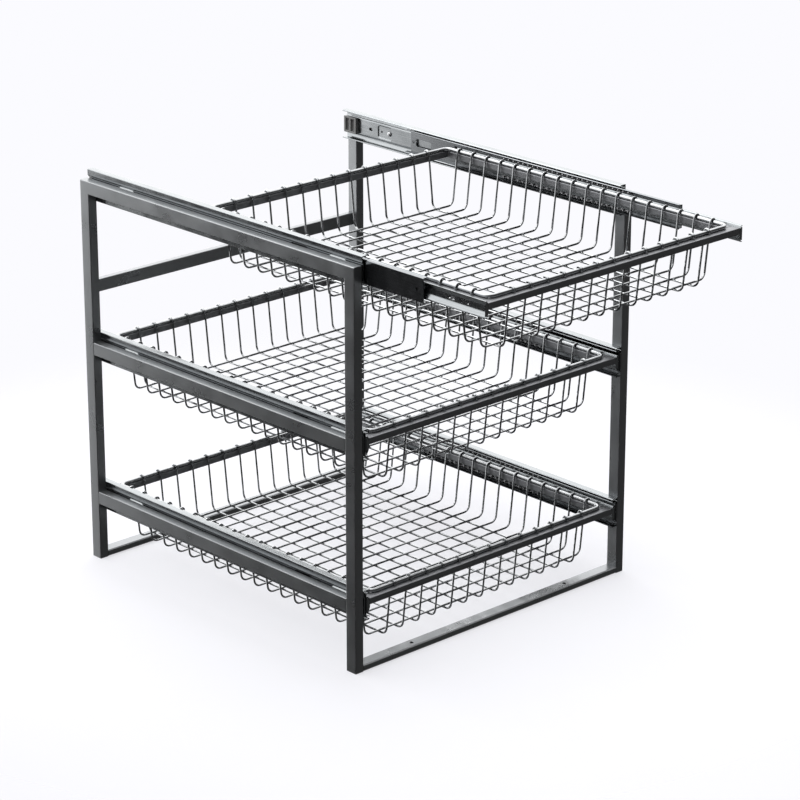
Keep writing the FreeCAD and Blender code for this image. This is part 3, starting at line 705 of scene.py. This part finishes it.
def add_stop(bm, rail, front, middle):
    """Moulded block whose shown face is cut into bands; two of the cells are pressed in."""
    block = bmesh.ops.create_cube(bm, size=1.0)["verts"]
    bmesh.ops.scale(bm, vec=STOP_SIZE, verts=block)
    bmesh.ops.translate(bm, vec=(rail + STOP_U, front + STOP_PLACE, middle), verts=block)
    shown_x = rail + STOP_U + STOP_SIZE[0] / 2.0
    cells = [max(once(f for v in block for f in v.link_faces),
                 key=lambda f: f.calc_center_median().x)]
    for axis, at in [(1, front + y) for y in STOP_RIBS] + [(2, middle + z) for z in STOP_BANDS]:
        point, across = Vector((0.0, 0.0, 0.0)), Vector((0.0, 0.0, 0.0))
        point[axis], across[axis] = at, 1.0
        geom = once(g for f in cells for g in (f, *f.edges, *f.verts))
        bmesh.ops.bisect_plane(bm, geom=geom, plane_co=point, plane_no=across)
        cells = [f for f in bm.faces if abs(f.normal.x) > 0.9
                 and abs(f.calc_center_median().x - shown_x) < TOLERANCE
                 and abs(f.calc_center_median().z - middle) < STOP_SIZE[2] / 2.0]
    for y in STOP_POCKETS:
        centre = Vector((shown_x, front + y, middle))
        pocket = [f for f in cells if (f.calc_center_median() - centre).length < 1.0 * MM]
        bmesh.ops.inset_individual(bm, faces=pocket, thickness=STOP_RIM, depth=-STOP_SINK)


def build_rear_stops():
    bm = bmesh.new()
    for tier in TIERS:
        add_stop(bm, *slide_place(tier))
    face_outwards(bm)
    mirror_copy(bm)
    make_piece("rear_stop_set", bm, STOP_GREY, "frame", ["rear_stops"],
               edge_round=STOP_EDGE)


for tier in TIERS:
    for side in SIDES:
        build_cabinet_member(tier, side)
        build_middle_member(tier, side)
        build_drawer_member(tier, side)
    for cage in CAGES:
        build_ball_cages(tier, *cage)
build_slide_screws()
build_rear_stops()


# ---- drawers ----
def build_hoop(tier):
    """Front and rear bar, and the two side bars as one piece."""
    for part in ("front_bar", "rear_bar"):
        node = "%s_%s" % (tier, part)
        low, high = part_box(node)
        bm = bmesh.new()
        hollow_tube(bm, Vector(low), Vector(high), 0, HOOP_WALL, HOOP_RADIUS)
        make_piece("%s_hoop_%s" % (tier, part), bm, HOOP_PAINT, tier + "_drawer",
                   [node], edge_round=HOOP_EDGE)
    low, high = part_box(tier + "_side_bars")
    bm = bmesh.new()
    hollow_tube(bm, Vector(low), Vector((low[0] + HOOP_WIDTH, high[1], high[2])), 1, HOOP_WALL,
                HOOP_RADIUS)
    mirror_copy(bm)
    make_piece("%s_hoop_sides" % tier, bm, HOOP_PAINT, tier + "_drawer",
               [tier + "_side_bars"], edge_round=HOOP_EDGE)


def basket_centre(tier):
    """Middle of the drawer at the height of the hoop's upper face, and half spans of the rim."""
    low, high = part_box(tier + "_front_bar")
    rod_low, rod_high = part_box(tier + "_rim_rod")
    middle = Vector((0.0, (rod_low[1] + rod_high[1]) / 2.0, high[2]))
    half_x = (rod_high[0] - rod_low[0]) / 2.0 - ROD / 2.0
    half_y = (rod_high[1] - rod_low[1]) / 2.0 - ROD / 2.0
    return middle, half_x, half_y


def build_rim(tier):
    """Rod bent into a closed rectangle, drawn out and spun from the middle of the front."""
    middle, half_x, half_y = basket_centre(tier)
    centre = middle + Vector((0.0, 0.0, ROD / 2.0))
    corners = [centre + Vector((x * half_x, y * half_y, 0.0))
               for x, y in ((1, -1), (1, 1), (-1, 1), (-1, -1))]
    start = centre + Vector((0.0, -half_y, 0.0))
    bm = bmesh.new()
    bent_rod(bm, [start, *corners, start], [ROD_CORNER] * 4, ROD, ROD_SIDES, 8, tip=0.0)
    ends = [f for f in bm.faces if len(f.verts) == ROD_SIDES]
    bmesh.ops.delete(bm, geom=ends, context="FACES")
    bmesh.ops.remove_doubles(bm, verts=bm.verts[:], dist=WELD)
    face_outwards(bm)
    make_piece(tier + "_rim", bm, BASKET_CHROME, tier + "_drawer",
               [tier + "_rim_rod"])


def hooked_wire(bm, half_span, layer, along, up_from):
    """U-shaped wire that hooks over both sides of the rim; along is its horizontal direction."""
    top = ROD + WIRE / 2.0
    wall = half_span - HOOK
    floor = top + WIRE - BASKET_DEPTH + layer
    half = [(half_span + HOOK, WIRE_END), (half_span + HOOK, top), (wall, top),
            (wall - WALL_TAPER, floor)]
    path = [(-u, z) for u, z in half] + [(u, z) for u, z in reversed(half)]
    points = [up_from + along * u + Vector((0.0, 0.0, z)) for u, z in path]
    bends = [HOOK, HOOK, FLOOR_BEND]
    bent_rod(bm, points, bends + bends[::-1], WIRE, WIRE_SIDES, 5, WIRE_TIP)
    face_outwards(bm)


def repeat(bm, count, pitch, along):
    """Copies of the first mesh at an even pitch about the middle."""
    first = all_of(bm)
    start = -pitch * (count - 1) / 2.0
    for i in range(1, count):
        copy = bmesh.ops.duplicate(bm, geom=first)["geom"]
        bmesh.ops.translate(bm, vec=along * (start + pitch * i), verts=verts_in(copy))
    bmesh.ops.translate(bm, vec=along * start, verts=verts_in(first))


def build_wires(tier):
    """Two rows of wires; the cross wires lie on the long ones in the basket's floor."""
    middle, half_x, half_y = basket_centre(tier)
    across, back = Vector((1.0, 0.0, 0.0)), Vector((0.0, 1.0, 0.0))
    for kind, half_span, layer, along, count, pitch, step in (
            ("cross", half_x, WIRE, across, CROSS_COUNT, CROSS_PITCH, back),
            ("long", half_y, 0.0, back, LONG_COUNT, LONG_PITCH, across)):
        bm = bmesh.new()
        hooked_wire(bm, half_span, layer, along, middle)
        repeat(bm, count, pitch, step)
        make_piece("%s_%s_wire_row" % (tier, kind), bm, BASKET_CHROME, tier + "_drawer",
                   ["%s_%s_wires" % (tier, kind)])


for tier in TIERS:
    build_hoop(tier)
    build_rim(tier)
    build_wires(tier)


# ---- floor, light and camera ----
def build_floor():
    """Pale floor for the camera alone: it catches the shadow and fades out beyond the object."""
    finish, nodes, links, shader = new_finish("pale_floor")
    shader.inputs["Base Color"].default_value = FLOOR_GREY
    shader.inputs["Roughness"].default_value = 0.9
    shader.inputs["Specular IOR Level"].default_value = 0.0
    shader.inputs["Emission Color"].default_value = WHITE
    shader.inputs["Emission Strength"].default_value = FLOOR_GLOW
    place = nodes.new("ShaderNodeTexCoord")
    distance = nodes.new("ShaderNodeVectorMath")
    distance.operation = "LENGTH"
    links.new(place.outputs["Object"], distance.inputs[0])
    fade = nodes.new("ShaderNodeMapRange")
    fade.inputs["From Min"].default_value, fade.inputs["From Max"].default_value = FLOOR_FADE
    fade.interpolation_type = "SMOOTHSTEP"
    links.new(distance.outputs["Value"], fade.inputs["Value"])
    clear = nodes.new("ShaderNodeBsdfTransparent")
    mix = nodes.new("ShaderNodeMixShader")
    links.new(fade.outputs["Result"], mix.inputs["Fac"])
    links.new(shader.outputs["BSDF"], mix.inputs[1])
    links.new(clear.outputs["BSDF"], mix.inputs[2])
    seen = split_by_ray(nodes, links, clear.outputs["BSDF"], mix.outputs["Shader"])
    links.new(seen, nodes["Material Output"].inputs["Surface"])
    bm = bmesh.new()
    bmesh.ops.create_grid(bm, x_segments=1, y_segments=1, size=FLOOR_HALF)
    floor = new_object("floor", bm, finish)
    floor.location.z = -FLOOR_DROP


def build_world():
    """White background for the camera; for the object a bright wall behind it and a dark room."""
    world = bpy.data.worlds.new("studio")
    bpy.context.scene.world = world
    world.use_nodes = True
    nodes, links = world.node_tree.nodes, world.node_tree.links
    place = nodes.new("ShaderNodeTexCoord")
    towards = nodes.new("ShaderNodeVectorMath")
    towards.operation = "DOT_PRODUCT"
    towards.inputs[1].default_value = WALL_DIRECTION
    links.new(place.outputs["Generated"], towards.inputs[0])
    level = nodes.new("ShaderNodeMapRange")
    level.inputs["From Min"].default_value = -1.0
    level.inputs["From Max"].default_value = 1.0
    links.new(towards.outputs["Value"], level.inputs["Value"])
    room = nodes.new("ShaderNodeBackground")
    room.inputs["Strength"].default_value = WALL_STRENGTH
    links.new(ramp(nodes, links, level.outputs["Result"], WALL_STOPS), room.inputs["Color"])
    white = nodes.new("ShaderNodeBackground")
    white.inputs["Color"].default_value = WHITE
    seen = split_by_ray(nodes, links, room.outputs["Background"], white.outputs["Background"])
    links.new(seen, nodes["World Output"].inputs["Surface"])


def build_dark_card():
    """Black card to the left of the unit: the object mirrors it, the camera never sees it."""
    finish, nodes, links, shader = new_finish("card_black")
    shader.inputs["Base Color"].default_value = CARD_BLACK
    shader.inputs["Roughness"].default_value = 1.0
    clear = nodes.new("ShaderNodeBsdfTransparent")
    seen = split_by_ray(nodes, links, shader.outputs["BSDF"], clear.outputs["BSDF"])
    links.new(seen, nodes["Material Output"].inputs["Surface"])
    bm = bmesh.new()
    bm.faces.new([bm.verts.new((CARD_X, y, z)) for y, z in CARD_CORNERS])
    card = new_object("dark_card", bm, finish)


def add_lamp(name, spot, target, size, watts):
    light = bpy.data.lights.new(name, "AREA")
    light.shape = "DISK"
    light.size = size
    light.energy = watts
    lamp = bpy.data.objects.new(name, light)
    bpy.context.scene.collection.objects.link(lamp)
    lamp.location = spot
    aim = Vector(target) - Vector(spot)
    lamp.rotation_euler = aim.to_track_quat("-Z", "Y").to_euler()


def build_camera():
    view = bpy.data.cameras.new("camera")
    view.lens = LENS
    view.sensor_width = SENSOR
    view.clip_start = 0.1
    camera = bpy.data.objects.new("camera", view)
    bpy.context.scene.collection.objects.link(camera)
    camera.location = CAMERA_SPOT
    camera.rotation_euler = (math.pi / 2.0 - CAMERA_PITCH, 0.0, -CAMERA_YAW)
    bpy.context.scene.camera = camera


build_floor()
build_world()
build_dark_card()
add_lamp("overhead_softbox", spot=(0.2, 0.9, 2.2), target=(0.0, 0.0, 0.3), size=1.6, watts=12.0)
build_camera()
bpy.context.scene.view_settings.view_transform = "Standard"
